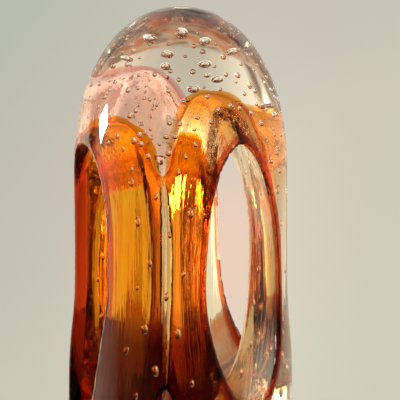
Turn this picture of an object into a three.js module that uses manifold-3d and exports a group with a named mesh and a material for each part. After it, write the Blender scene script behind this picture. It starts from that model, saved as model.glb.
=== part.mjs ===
// Bullet-shaped art glass sculpture, in millimetres, +Z up.
//
// A solid clear dome on four legs: four tall almond windows are pressed in from the sides and meet
// in the middle. The clear glass is two gathers, one over the other. The inner one is pricked with
// dimples, which the outer one closes into a layer of air bubbles. Each window has its own coloured
// skin, three of amber and one of rose, which runs from the hood over the window to its sill.
//
// The origin is the centre of the ground flat foot. -Y is the front, and azimuths are measured
// from the front toward +X.

import * as THREE from 'three';
import { mergeVertices } from 'three/addons/utils/BufferGeometryUtils.js';
import Module from 'manifold-3d';

const wasm = await Module();
wasm.setup();

// Body
const HEIGHT = 280;
const BODY_RADIUS = 57.8;
const DOME_HEIGHT = 86.8;
const DOME_CROWN_REACH = 33.6; // how far the crown runs level before it turns down
const DOME_SHOULDER_REACH = 52.1; // how far the shoulder runs straight up before it turns in
const FLARE_TOP = 137.3;
const FLARE_FOOT = 77.6;
const FOOT_RADIUS = 60.5;
const FOOT_EDGE_ROUND = 7;

// Inner gather and its bubbles
const CASING_THICKNESS = 12;
const CROWN_THICKNESS = 14;
const GATHER_RADIUS = BODY_RADIUS - CASING_THICKNESS;
const GATHER_DOME_HEIGHT = 78.8;
const BUBBLE_COUNT = 62; // places tried; the ones at a window are left out
const BUBBLE_RADIUS_SMALL = 1.3;
const BUBBLE_RADIUS_LARGE = 2.1;
const BUBBLE_SIZES = 11; // steps from the small radius to the large
const BUBBLE_SIZE_STRIDE = 7; // steps on from one bubble to the next
const BUBBLE_STRETCH_IN_LEGS = 1.9;
const BUBBLE_BELOW_CROWN = 2.5; // from the inner crown down to the highest bubble
const BUBBLE_TOP = HEIGHT - CROWN_THICKNESS - BUBBLE_BELOW_CROWN;
const BUBBLE_BOTTOM = 50;
const BUBBLE_TO_WINDOW = 3.2; // least glass between a bubble and a coloured skin
const BUBBLES_IN_DOME = 0.62; // share of the bubbles that lie above the shoulder
const DOME_CROWDING = 0.6; // power that spreads them down from the crown, less is lower
const SHOULDER = HEIGHT - DOME_HEIGHT;

// Fits
const FUSE_GAP = 0.36; // between two bodies of glass that lie against each other

// Facets
const WELD = 1e-3; // corners nearer than this are one
const ROUND_STEPS = 40;
const DOME_STEPS = 11;
const GATHER_DOME_STEPS = 9;
const FLARE_STEPS = 4;
const FOOT_STEPS = 2;
const TUNNEL_MERIDIANS = 32; // round the window, and so round its rim
const TUNNEL_RINGS = 10; // from the middle of the body out through the window
const BUBBLE_MERIDIANS = 6;
const BUBBLE_RINGS = 4;
const HALVINGS = 30; // steps of a search by halves
const MOST_STRETCH = 3; // a tunnel's wall lies nearer than this, in half widths and half heights

// Tunnels
// Each tunnel is a tall finger of air pressed in from the side. Heights are above the foot.
// "Left" and "right" are the half widths toward lower and higher azimuth. An arch's top and floor
// are its powers: 2 is an ellipse, less is more pointed, more is squarer. The lean is how far the
// arch's top drifts toward higher azimuth, as a share of its height.
const TUNNELS = {
  frontRight: {
    azimuth: 39,
    hoodDistance: 17.9, // from the axis to the hood's highest point
    hoodTop: 227.9,
    windowTop: 199.8,
    belt: 129.7, // height of the widest level
    floor: 40.2,
    innerReach: 19,
    innerLeft: 18.4,
    innerRight: 27.5,
    innerArch: { top: 2.6, floor: 2.2, lean: 0 },
    windowLeft: 24.6,
    windowRight: 24.8,
    windowArch: { top: 1.75, floor: 1.75, lean: -0.08 },
    skin: 1.6,
  },
  frontLeft: {
    azimuth: -67,
    hoodDistance: 29.3,
    hoodTop: 214.9,
    windowTop: 202.4,
    belt: 142.7,
    floor: 26.1,
    innerReach: 22.8,
    innerLeft: 22.8,
    innerRight: 22.8,
    innerArch: { top: 2.1, floor: 2.2, lean: 0 },
    windowLeft: 23.9,
    windowRight: 23.9,
    windowArch: { top: 2.3, floor: 2, lean: 0 },
    skin: 2.2,
  },
  backLeft: {
    azimuth: -146,
    hoodDistance: 20.6,
    hoodTop: 236.6,
    windowTop: 197,
    belt: 129.2,
    floor: 39.7,
    innerReach: 20.6,
    innerLeft: 22.8,
    innerRight: 22.8,
    innerArch: { top: 2.2, floor: 2.2, lean: 0 },
    windowLeft: 23.9,
    windowRight: 23.9,
    windowArch: { top: 2, floor: 2, lean: 0 },
    skin: 1.6,
  },
  backRight: {
    azimuth: 138,
    hoodDistance: 20.6,
    hoodTop: 221,
    windowTop: 201,
    belt: 156,
    floor: 66,
    innerReach: 21.7,
    innerLeft: 27,
    innerRight: 22.8,
    innerArch: { top: 2.2, floor: 2, lean: 0.1 },
    windowLeft: 22,
    windowRight: 17.8,
    windowArch: { top: 2.8, floor: 1.8, lean: 0.2 },
    skin: 1.6,
  },
};
const SIDE_BLEND = 0.6; // share of the half width over which the left side turns into the right
const ARCH_BLEND = 0.3; // share of the hood's height over which the arch turns into the floor
const MOUTH_PINCH = 0.35; // least height of a tunnel beyond its window, as a share of its full height
const MOUTH_OVERRUN = 14; // how far a tunnel runs past the body's side

// Colours
const CLEAR_GLASS = { color: 0xe6e1d4, roughness: 0.04, metalness: 0 };
const BUBBLED_GLASS = { color: 0xd9d6c8, roughness: 0.05, metalness: 0 };
const AMBER_GLASS = { color: 0xe2790f, roughness: 0.06, metalness: 0 };
const ROSE_GLASS = { color: 0xd98d86, roughness: 0.06, metalness: 0 };

const { MathUtils, Vector2, Vector3 } = THREE;

/** Makes a solid of a closed geometry. */
function toSolid(geometry) {
  geometry.deleteAttribute('normal');
  geometry.deleteAttribute('uv');
  const merged = mergeVertices(geometry, WELD);
  const index = merged.index.array;
  const triangles = [];
  for (let i = 0; i < index.length; i += 3) {
    const [a, b, c] = [index[i], index[i + 1], index[i + 2]];
    if (a !== b && b !== c && c !== a) triangles.push(a, b, c);
  }
  return new wasm.Manifold(new wasm.Mesh({
    numProp: 3,
    vertProperties: new Float32Array(merged.attributes.position.array),
    triVerts: new Uint32Array(triangles),
  }));
}

/** Makes a named mesh of a solid, with its own material. */
function toMesh(name, solid, finish) {
  const { vertProperties, triVerts } = solid.getMesh();
  const geometry = new THREE.BufferGeometry();
  geometry.setAttribute('position', new THREE.BufferAttribute(vertProperties, 3));
  geometry.setIndex(new THREE.BufferAttribute(triVerts, 1));
  geometry.computeVertexNormals();
  const mesh = new THREE.Mesh(geometry, new THREE.MeshStandardMaterial(finish));
  mesh.name = name;
  return mesh;
}

/** Turns a profile of (radius, height) points, from the axis below to the axis above, about Z. */
function revolve(profile) {
  return toSolid(new THREE.LatheGeometry(profile, ROUND_STEPS).rotateX(Math.PI / 2));
}

/** Points of a bullet's dome from its shoulder up to its crown. */
function domeProfile(radius, top, height, crownReach, shoulderReach, steps) {
  return new THREE.CubicBezierCurve(
    new Vector2(radius, top - height),
    new Vector2(radius, top - height + shoulderReach),
    new Vector2(crownReach, top),
    new Vector2(0, top),
  ).getPoints(steps);
}

/** The whole outer shape: ground foot, soft flare, straight side and dome. */
function bodyProfile() {
  const flareBend = (FLARE_TOP - FLARE_FOOT) / 2;
  const footArc = new THREE.EllipseCurve(
    FOOT_RADIUS - FOOT_EDGE_ROUND, FOOT_EDGE_ROUND,
    FOOT_EDGE_ROUND, FOOT_EDGE_ROUND, -Math.PI / 2, 0,
  ).getPoints(FOOT_STEPS);
  const flare = new THREE.CubicBezierCurve(
    new Vector2(FOOT_RADIUS, FLARE_FOOT),
    new Vector2(FOOT_RADIUS, FLARE_FOOT + flareBend),
    new Vector2(BODY_RADIUS, FLARE_TOP - flareBend),
    new Vector2(BODY_RADIUS, FLARE_TOP),
  ).getPoints(FLARE_STEPS);
  const dome = domeProfile(
    BODY_RADIUS, HEIGHT, DOME_HEIGHT, DOME_CROWN_REACH, DOME_SHOULDER_REACH, DOME_STEPS,
  );
  return [new Vector2(0, 0), ...footArc, ...flare, ...dome];
}

/** The gather, or the hollow for it in the casing when it is grown by the gap. */
function gatherProfile(growth) {
  const shrink = GATHER_RADIUS / BODY_RADIUS;
  const dome = domeProfile(
    GATHER_RADIUS + growth, HEIGHT - CROWN_THICKNESS + growth, GATHER_DOME_HEIGHT,
    DOME_CROWN_REACH * shrink, DOME_SHOULDER_REACH * shrink, GATHER_DOME_STEPS,
  );
  return [new Vector2(0, -growth), new Vector2(GATHER_RADIUS + growth, -growth), ...dome];
}

/** A tunnel with its derived sizes, grown all round by a layer of glass. */
function growTunnel(tunnel, growth) {
  const hood = tunnel.hoodTop - tunnel.belt;
  const mouthDistance = BODY_RADIUS - tunnel.hoodDistance;
  const rise = (tunnel.windowTop - tunnel.belt) / hood;
  const section = (left, right, arch) => ({ left: left + growth, right: right + growth, arch });
  const azimuth = MathUtils.degToRad(tunnel.azimuth);
  return {
    outward: new Vector3(Math.sin(azimuth), -Math.cos(azimuth), 0),
    sideways: new Vector3(Math.cos(azimuth), Math.sin(azimuth), 0),
    centre: new Vector3(
      Math.sin(azimuth) * tunnel.hoodDistance, -Math.cos(azimuth) * tunnel.hoodDistance, tunnel.belt,
    ),
    mouthDistance,
    outerReach: mouthDistance / Math.sqrt(1 - rise * rise) + growth,
    innerReach: tunnel.innerReach + growth,
    hood: hood + growth,
    depth: tunnel.belt - tunnel.floor + growth,
    inner: section(tunnel.innerLeft, tunnel.innerRight, tunnel.innerArch),
    window: section(tunnel.windowLeft, tunnel.windowRight, tunnel.windowArch),
  };
}

/** How far a point lies outside a tunnel: 0 on its wall, below 0 in its air. */
function tunnelField(tunnel, point) {
  const offset = point.clone().sub(tunnel.centre);
  const u = offset.dot(tunnel.outward);
  const { smoothstep, lerp } = MathUtils;
  const toMouth = smoothstep(u / tunnel.mouthDistance, 0, 1);
  const lean = lerp(tunnel.inner.arch.lean, tunnel.window.arch.lean, toMouth);
  const v = offset.dot(tunnel.sideways) - lean * Math.max(offset.z, 0) ** 2 / tunnel.hood;
  const toRight = smoothstep(v / (SIDE_BLEND * tunnel.inner.left) + 0.5, 0, 1);
  const toTop = smoothstep(offset.z / (ARCH_BLEND * tunnel.hood) + 0.5, 0, 1);
  const width = ({ left, right }) => lerp(left, right, toRight);
  const power = ({ arch }) => lerp(arch.floor, arch.top, toTop);
  const halfWidth = lerp(width(tunnel.inner), width(tunnel.window), toMouth);
  const roundness = lerp(power(tunnel.inner), power(tunnel.window), toMouth);
  const slope = u > 0 ? Math.max(1 - (u / tunnel.outerReach) ** 2, MOUTH_PINCH ** 2) : 1;
  const halfHeight = (offset.z > 0 ? tunnel.hood : tunnel.depth) * Math.sqrt(slope);
  const across = Math.hypot(Math.min(u, 0) / tunnel.innerReach, v / halfWidth);
  const upward = Math.abs(offset.z) / halfHeight;
  return (upward ** roundness + across ** roundness) ** (1 / roundness) - 1;
}

/** A ball with its poles along the tunnel, drawn out spoke by spoke to the tunnel's wall. */
function tunnelSolid(tunnel) {
  const geometry = new THREE.SphereGeometry(1, TUNNEL_MERIDIANS, TUNNEL_RINGS).rotateZ(-Math.PI / 2);
  const position = geometry.attributes.position;
  const farEnd = tunnel.mouthDistance + MOUTH_OVERRUN;
  const spoke = new Vector3();
  const point = new Vector3();
  for (let i = 0; i < position.count; i += 1) {
    spoke.fromBufferAttribute(position, i);
    spoke.x *= spoke.x > 0 ? tunnel.mouthDistance : tunnel.innerReach;
    spoke.y *= tunnel.inner.left;
    spoke.z *= spoke.z > 0 ? tunnel.hood : tunnel.depth;
    let inside = 0;
    let outside = spoke.x > 0 ? Math.min(farEnd / spoke.x, MOST_STRETCH) : MOST_STRETCH;
    for (let halving = 0; halving < HALVINGS; halving += 1) {
      const middle = (inside + outside) / 2;
      point.copy(tunnel.centre)
        .addScaledVector(tunnel.outward, spoke.x * middle)
        .addScaledVector(tunnel.sideways, spoke.y * middle);
      point.z += spoke.z * middle;
      if (tunnelField(tunnel, point) < 0) inside = middle;
      else outside = middle;
    }
    position.setXYZ(i, point.x, point.y, point.z);
  }
  return toSolid(geometry);
}

const names = Object.keys(TUNNELS);
const air = {};
const skinOutside = {};
const skinSeat = {};
for (const name of names) {
  const { skin } = TUNNELS[name];
  air[name] = tunnelSolid(growTunnel(TUNNELS[name], 0));
  skinOutside[name] = tunnelSolid(growTunnel(TUNNELS[name], skin));
  skinSeat[name] = tunnelSolid(growTunnel(TUNNELS[name], skin + FUSE_GAP));
}

/** The dimples, spread by the golden angle over the gather and kept clear of the windows. */
function bubbles() {
  const outline = new THREE.SplineCurve(gatherProfile(0).slice(1).reverse());
  const seats = names.map((name) => growTunnel(TUNNELS[name], TUNNELS[name].skin + BUBBLE_TO_WINDOW));
  const goldenAngle = Math.PI * (3 - Math.sqrt(5));
  const solids = [];
  for (let i = 0; i < BUBBLE_COUNT; i += 1) {
    const share = (i + 0.5) / BUBBLE_COUNT;
    const inDome = share < BUBBLES_IN_DOME;
    const z = inDome
      ? MathUtils.mapLinear((share / BUBBLES_IN_DOME) ** DOME_CROWDING, 0, 1, BUBBLE_TOP, SHOULDER)
      : MathUtils.mapLinear(share, BUBBLES_IN_DOME, 1, SHOULDER, BUBBLE_BOTTOM);
    const radius = radiusAt(outline, z);
    const azimuth = i * goldenAngle;
    const centre = new Vector3(radius * Math.sin(azimuth), -radius * Math.cos(azimuth), z);
    if (seats.some((seat) => tunnelField(seat, centre) < 0)) continue;
    const pick = (i * BUBBLE_SIZE_STRIDE % BUBBLE_SIZES) / (BUBBLE_SIZES - 1);
    const size = MathUtils.lerp(BUBBLE_RADIUS_SMALL, BUBBLE_RADIUS_LARGE, pick);
    const stretch = inDome ? 1 : BUBBLE_STRETCH_IN_LEGS;
    const ball = new THREE.SphereGeometry(size, BUBBLE_MERIDIANS, BUBBLE_RINGS)
      .rotateX(Math.PI / 2)
      .scale(1, 1, stretch)
      .rotateZ(azimuth)
      .translate(centre.x, centre.y, centre.z);
    solids.push(toSolid(ball));
  }
  return solids;
}

/** Radius of an outline, which runs from the crown down, at a height. */
function radiusAt(outline, z) {
  let above = 0;
  let below = 1;
  for (let halving = 0; halving < HALVINGS; halving += 1) {
    const middle = (above + below) / 2;
    if (outline.getPoint(middle).y > z) above = middle;
    else below = middle;
  }
  return outline.getPoint(above).x;
}

const body = revolve(bodyProfile());
let casing = body.subtract(revolve(gatherProfile(FUSE_GAP)));
let gather = revolve(gatherProfile(0));
for (const name of names) {
  casing = casing.subtract(skinSeat[name]);
  gather = gather.subtract(skinSeat[name]);
}
for (const bubble of bubbles()) gather = gather.subtract(bubble);

/** A window's skin: open to every tunnel's air, and stopped by the skins of the earlier ones. */
function skinSolid(name) {
  let skin = skinOutside[name].intersect(body);
  for (const other of names) skin = skin.subtract(air[other]);
  for (const earlier of names.slice(0, names.indexOf(name))) {
    skin = skin.subtract(skinSeat[earlier]);
  }
  return skin;
}

const sculpture = new THREE.Group();
sculpture.add(
  toMesh('clear_casing_gather', casing, CLEAR_GLASS),
  toMesh('clear_bubble_gather', gather, BUBBLED_GLASS),
  toMesh('amber_skin_front_right', skinSolid('frontRight'), AMBER_GLASS),
  toMesh('amber_skin_front_left', skinSolid('frontLeft'), AMBER_GLASS),
  toMesh('rose_skin_back_left', skinSolid('backLeft'), ROSE_GLASS),
  toMesh('amber_skin_back_right', skinSolid('backRight'), AMBER_GLASS),
);

export default sculpture;
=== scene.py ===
"""Looks of a pierced art glass sculpture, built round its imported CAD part.

The sculpture is one lump of glass: a clear bullet with a layer of caught air bubbles, pierced by four
tall windows that meet in the middle, each lined with a skin of coloured glass. Sizes in the
dataclasses are millimetres and match the part's own. The finished meshes are metres.
"""

import logging
import math
import random
from dataclasses import dataclass, field
from enum import Enum
from typing import Dict, List, Optional, Sequence, Tuple, Union

import bmesh
import bpy
import numpy as np
from mathutils import Matrix, Vector, noise


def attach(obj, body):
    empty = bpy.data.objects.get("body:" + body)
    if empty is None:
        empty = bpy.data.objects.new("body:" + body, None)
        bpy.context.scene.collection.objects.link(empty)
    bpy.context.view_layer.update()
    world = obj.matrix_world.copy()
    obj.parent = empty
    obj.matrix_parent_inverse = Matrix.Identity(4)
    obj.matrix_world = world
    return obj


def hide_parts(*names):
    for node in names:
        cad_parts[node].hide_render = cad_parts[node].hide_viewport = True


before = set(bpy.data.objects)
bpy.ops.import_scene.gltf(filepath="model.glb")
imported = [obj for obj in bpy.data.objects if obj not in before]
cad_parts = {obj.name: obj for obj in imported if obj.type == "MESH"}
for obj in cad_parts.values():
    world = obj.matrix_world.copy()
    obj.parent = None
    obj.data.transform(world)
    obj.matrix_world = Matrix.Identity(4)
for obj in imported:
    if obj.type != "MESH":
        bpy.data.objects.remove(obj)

logging.basicConfig(level=logging.INFO, format="%(relativeCreated)6d %(message)s")
log = logging.getLogger("sculpture")

MM = 0.001
ROOT = "root"
Triple = Tuple[float, float, float]


# Sizes


class Slot(Enum):
    """Material slots of the sculpture's glasses."""

    CLEAR = "clear_glass"
    BUBBLED = "bubbled_glass"
    AMBER = "amber_glass"
    ROSE = "rose_glass"


@dataclass(frozen=True)
class BodySizes:
    """Outside of the bullet: ground foot, soft flare, straight side and dome."""

    height: float = 280.0
    radius: float = 57.8
    dome_height: float = 86.8
    crown_reach: float = 33.6
    shoulder_reach: float = 52.1
    flare_top: float = 137.3
    flare_foot: float = 77.6
    foot_radius: float = 60.5
    foot_edge: float = 7.0
    casing: float = 12.0
    crown_casing: float = 14.0


@dataclass(frozen=True)
class Section:
    """Width and arch of a tunnel at one end.

    left and right are half widths toward lower and higher azimuth. The arch powers are those of a
    superellipse: 2 is an ellipse, less is more pointed. The lean drifts the arch's top sideways.
    """

    left: float
    right: float
    arch_top: float
    arch_floor: float
    lean: float = 0.0


CLEAR_TINT = "#fefdfb"
# Painted shade: the dark maroon that skins turn to along the windows' rims and at the front left skin's
# left edge.
MAROON_PAINTED_SHADE = "#bc3f1d"
UP = (0, 0, 1)


@dataclass(frozen=True)
class Fade:
    """Where a tint runs into another, in millimetres along a direction, or out from the axis."""

    other_at: float
    own_at: float
    direction: Optional[Triple] = None
    other: str = CLEAR_TINT


@dataclass(frozen=True)
class TunnelSizes:
    """A tall finger of air that is pressed in from the side, and the colour that lines it.

    Its middle lies hood_distance out from the axis, and it is widest at the height of its belt.
    streak and rim_pool are the shares by which the skin thickens in its streaks and at its rim.
    """

    node: str
    slot: Slot
    azimuth: float
    hood_distance: float
    hood_top: float
    window_top: float
    belt: float
    floor: float
    inner_reach: float
    inner: Section
    window: Section
    skin: float
    tints: Tuple[str, str]
    streak: float
    fades: Tuple[Fade, ...] = ()
    rim_pool: float = 1.6


# Each pair is the glass seen once through, in its pale and its deep streaks
GOLDEN_AMBER = ("#feeac5", "#fdce8b")
DEEP_AMBER = ("#feb829", "#fd9512")
BURNT_AMBER = ("#fedfb5", "#fcc586")
BRIGHT_AMBER = "#fecb30"
DEEP_ROOT = "#aa591d"
HONEY = "#feedcb"
PEACH = "#fef2e5"
LEG_EDGE = Fade(other_at=24, own_at=31, other="#fed181")
# Painted shade: out past 54.2 mm from the axis each skin turns dark maroon, for the dark outline that
# rounded rims show by refraction.
RIM_PAINTED_SHADE = Fade(other_at=56.4, own_at=54.2, other=MAROON_PAINTED_SHADE)
PALE_ROSE = ("#fef5ef", "#fdeadf")

TUNNELS: Tuple[TunnelSizes, ...] = (
    TunnelSizes(
        node="amber_skin_front_right",
        slot=Slot.AMBER,
        azimuth=39,
        hood_distance=17.9,
        hood_top=227.9,
        window_top=199.8,
        belt=129.7,
        floor=40.2,
        inner_reach=19,
        inner=Section(18.4, 27.5, 2.6, 2.2),
        window=Section(24.6, 24.8, 1.75, 1.75, lean=-0.08),
        skin=1.6,
        tints=GOLDEN_AMBER,
        fades=(
            Fade(other_at=46, own_at=32, direction=(-0.4, -0.92, 0), other=HONEY),
            LEG_EDGE,
            Fade(other_at=202, own_at=172, direction=UP, other=PEACH),
            Fade(other_at=223, own_at=210, direction=UP, other=GOLDEN_AMBER[1]),
            RIM_PAINTED_SHADE,
        ),
        streak=0.5,
    ),
    TunnelSizes(
        node="amber_skin_front_left",
        slot=Slot.AMBER,
        azimuth=-67,
        hood_distance=29.3,
        hood_top=214.9,
        window_top=202.4,
        belt=142.7,
        floor=26.1,
        inner_reach=22.8,
        inner=Section(22.8, 22.8, 2.1, 2.2),
        window=Section(23.9, 23.9, 2.3, 2.0),
        skin=2.2,
        tints=DEEP_AMBER,
        streak=0.6,
        fades=(
            Fade(other_at=24, own_at=35, other=HONEY),
            Fade(other_at=206, own_at=165, direction=UP, other=BRIGHT_AMBER),
            Fade(other_at=98, own_at=120, direction=UP, other=DEEP_ROOT),
            # Painted shade: toward the left (-X) the front left skin turns dark maroon, for the dark band
            # at the object's left edge.
            Fade(other_at=-52, own_at=-46.5, direction=(1, 0, 0), other=MAROON_PAINTED_SHADE),
            RIM_PAINTED_SHADE,
        ),
    ),
    TunnelSizes(
        node="rose_skin_back_left",
        slot=Slot.ROSE,
        azimuth=-146,
        hood_distance=20.6,
        hood_top=236.6,
        window_top=197,
        belt=129.2,
        floor=39.7,
        inner_reach=20.6,
        inner=Section(22.8, 22.8, 2.2, 2.2),
        window=Section(23.9, 23.9, 2.0, 2.0),
        skin=1.6,
        tints=PALE_ROSE,
        streak=0.4,
        rim_pool=0.3,
    ),
    TunnelSizes(
        node="amber_skin_back_right",
        slot=Slot.AMBER,
        azimuth=138,
        hood_distance=20.6,
        hood_top=221,
        window_top=201,
        belt=156,
        floor=66,
        inner_reach=21.7,
        inner=Section(27, 22.8, 2.2, 2.0, lean=0.1),
        window=Section(22, 17.8, 2.8, 1.8, lean=0.2),
        skin=1.6,
        tints=BURNT_AMBER,
        streak=0.5,
        fades=(
            Fade(other_at=9, own_at=0, direction=(-0.743, 0.669, 0)),
            Fade(other_at=130, own_at=190, direction=UP),
            RIM_PAINTED_SHADE,
        ),
    ),
)


@dataclass(frozen=True)
class BubbleSizes:
    """The layer of caught air between the two gathers.

    A crowding below 1 moves the dome's bubbles down to where it is wider, and a small_share above 1
    makes small ones commoner. ways_out are steps off the gather, of which the least that is clear
    of the walls is taken.
    """

    in_dome: int = 300
    in_legs: int = 170
    radius_small: float = 0.9
    radius_large: float = 1.7
    stretch_in_legs: float = 1.9
    top: float = 263.5
    bottom: float = 22.0
    crowding: float = 0.8
    jitter: float = 3.4
    clearance: float = 2.6
    spacing: float = 1.15
    tilt: float = 0.25
    drawn_least: float = 0.85
    drawn_most: float = 1.2
    small_share: float = 1.4
    off_gather: float = 1.0
    dome_power: float = 2.35
    ways_out: Tuple[float, ...] = (0.0, 2.0, 4.0, 6.0)
    seed: int = 11


@dataclass(frozen=True)
class MeshSizes:
    """Fineness of the finished glass."""

    voxel: float = 1.6
    quick_voxel: float = 2.0
    round_steps: int = 96
    dome_points: int = 40
    flare_points: int = 30
    edge_points: int = 8
    tunnel_segments: int = 64
    tunnel_rings: int = 48
    relax_rounds: Tuple[int, ...] = (2, 3)
    smooth_passes: int = 2
    settle_steps: int = 3
    longest_step: float = 0.8
    rim_round: float = 3.0
    join_round: float = 5.0
    hub_round: float = 4.0
    hub_radius: float = 13.0
    seat_depth: float = 0.15
    wall_band: float = 0.25
    rim_band: float = 1.2


# Smooth shapes


@dataclass
class Level:
    """Signed distances of many points to a shape, below 0 inside, with their directions of growth."""

    value: np.ndarray
    slope: np.ndarray

    def join(self, other: "Level", blend: Union[float, np.ndarray]) -> "Level":
        """Joins two shapes with a soft inner corner.

        Args:
            other: the second shape, at the same points.
            blend: width of the corner, for all points or for each.

        Returns:
            The level of the joined shape.
        """
        share = np.clip(0.5 + 0.5 * (other.value - self.value) / blend, 0, 1)
        value = other.value * (1 - share) + self.value * share - blend * share * (1 - share)
        return Level(value, other.slope * (1 - share)[:, None] + self.slope * share[:, None])

    def inverted(self) -> "Level":
        """Returns the level of everything outside the shape."""
        return Level(-self.value, -self.slope)


def smoothstep(value: np.ndarray) -> np.ndarray:
    """Eases 0..1 in and out, clamped."""
    t = np.clip(value, 0, 1)
    return t * t * (3 - 2 * t)


def bezier(points: Sequence[Tuple[float, float]], count: int) -> List[Tuple[float, float]]:
    """Points along a cubic Bezier curve, from its first point to its last.

    Args:
        points: the curve's four control points.
        count: number of steps along it.

    Returns:
        count + 1 points.
    """
    made = []
    for i in range(count + 1):
        t = i / count
        weights = ((1 - t) ** 3, 3 * t * (1 - t) ** 2, 3 * t * t * (1 - t), t**3)
        made.append(tuple(sum(w * p[k] for w, p in zip(weights, points)) for k in (0, 1)))
    return made


class BodyOutline:
    """The outer surface of the bullet, as a profile and as a smooth distance."""

    CELL = 0.5
    MARGIN = 12.0

    def __init__(self, sizes: BodySizes, mesh: MeshSizes) -> None:
        """Draws the profile and measures the room round it.

        Args:
            sizes: the bullet.
            mesh: how many points each stretch gets.
        """
        self.sizes = sizes
        self.profile = self._profile(sizes, mesh)
        self.table = self._distance_table()

    @staticmethod
    def _profile(s: BodySizes, mesh: MeshSizes) -> np.ndarray:
        """Radius and height points from the crown down the side to the foot's centre.

        Args:
            s: the bullet.
            mesh: how many points each stretch gets.

        Returns:
            The points, as rows of radius and height.
        """
        shoulder = s.height - s.dome_height
        bend = (s.flare_top - s.flare_foot) / 2
        dome = bezier(
            [
                (0, s.height),
                (s.crown_reach, s.height),
                (s.radius, shoulder + s.shoulder_reach),
                (s.radius, shoulder),
            ],
            mesh.dome_points,
        )
        flare = bezier(
            [
                (s.radius, s.flare_top),
                (s.radius, s.flare_top - bend),
                (s.foot_radius, s.flare_foot + bend),
                (s.foot_radius, s.flare_foot),
            ],
            mesh.flare_points,
        )
        edge = []
        for i in range(mesh.edge_points + 1):
            turn = math.pi / 2 * i / mesh.edge_points
            inward = s.foot_edge * (1 - math.cos(turn))
            edge.append((s.foot_radius - inward, s.foot_edge * (1 - math.sin(turn))))
        return np.array([*dome, *flare, *edge, (0.0, 0.0)])

    def _distance_table(self) -> np.ndarray:
        """Signed distance to the profile on a grid of radius and height.

        Returns:
            The distances, below 0 inside, by radius and by height.
        """
        radii = np.arange(-self.MARGIN, self.sizes.foot_radius + self.MARGIN, self.CELL)
        heights = np.arange(-self.MARGIN, self.sizes.height + self.MARGIN, self.CELL)
        r, z = np.meshgrid(radii, heights, indexing="ij")
        best = np.full(r.shape, np.inf)
        side = np.ones(r.shape)
        mirrored = self.profile[:-1] * (-1, 1)
        loop = np.concatenate([mirrored[:0:-1], self.profile])
        for (r0, z0), (r1, z1) in zip(loop[:-1], loop[1:]):
            dr, dz = r1 - r0, z1 - z0
            share = np.clip(((r - r0) * dr + (z - z0) * dz) / max(dr * dr + dz * dz, 1e-12), 0, 1)
            qr, qz = r - (r0 + share * dr), z - (z0 + share * dz)
            distance = np.hypot(qr, qz)
            nearer = distance < best
            best = np.where(nearer, distance, best)
            side = np.where(nearer, np.where(dr * qz - dz * qr > 0, 1.0, -1.0), side)
        return best * side

    def _look_up(self, r: np.ndarray, z: np.ndarray) -> np.ndarray:
        """Bilinear reading of the table.

        Args:
            r: distances from the axis.
            z: heights.

        Returns:
            The signed distances there.
        """
        i = np.clip((r + self.MARGIN) / self.CELL, 0, self.table.shape[0] - 1.001)
        j = np.clip((z + self.MARGIN) / self.CELL, 0, self.table.shape[1] - 1.001)
        i0, j0 = i.astype(int), j.astype(int)
        di, dj = i - i0, j - j0
        low = self.table[i0, j0] * (1 - di) + self.table[i0 + 1, j0] * di
        high = self.table[i0, j0 + 1] * (1 - di) + self.table[i0 + 1, j0 + 1] * di
        return low * (1 - dj) + high * dj

    def level(self, points: np.ndarray) -> Level:
        """Signed distance of points to the bullet's outside, with its slope.

        Args:
            points: places in millimetres.

        Returns:
            Their level.
        """
        r = np.hypot(points[:, 0], points[:, 1])
        z = points[:, 2]
        h = self.CELL
        along_r = (self._look_up(r + h, z) - self._look_up(r - h, z)) / (2 * h)
        along_z = (self._look_up(r, z + h) - self._look_up(r, z - h)) / (2 * h)
        out = points[:, :2] / np.maximum(r, 1e-6)[:, None]
        slope = np.concatenate([out * along_r[:, None], along_z[:, None]], 1)
        return Level(self._look_up(r, z), slope)

    def mesh(self, steps: int) -> bmesh.types.BMesh:
        """The profile turned about the axis, closed.

        Args:
            steps: number of faces round the axis.

        Returns:
            The closed mesh.
        """
        made = bmesh.new()
        verts = [made.verts.new((r, 0, z)) for r, z in self.profile]
        for a, b in zip(verts, verts[1:]):
            if (a.co - b.co).length > 1e-4:
                made.edges.new((a, b))
        bmesh.ops.spin(
            made,
            geom=made.verts[:] + made.edges[:],
            axis=(0, 0, 1),
            cent=(0, 0, 0),
            angle=2 * math.pi,
            steps=steps,
            use_merge=True,
        )
        bmesh.ops.remove_doubles(made, verts=made.verts[:], dist=0.01)
        bmesh.ops.recalc_face_normals(made, faces=made.faces[:])
        return made


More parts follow.
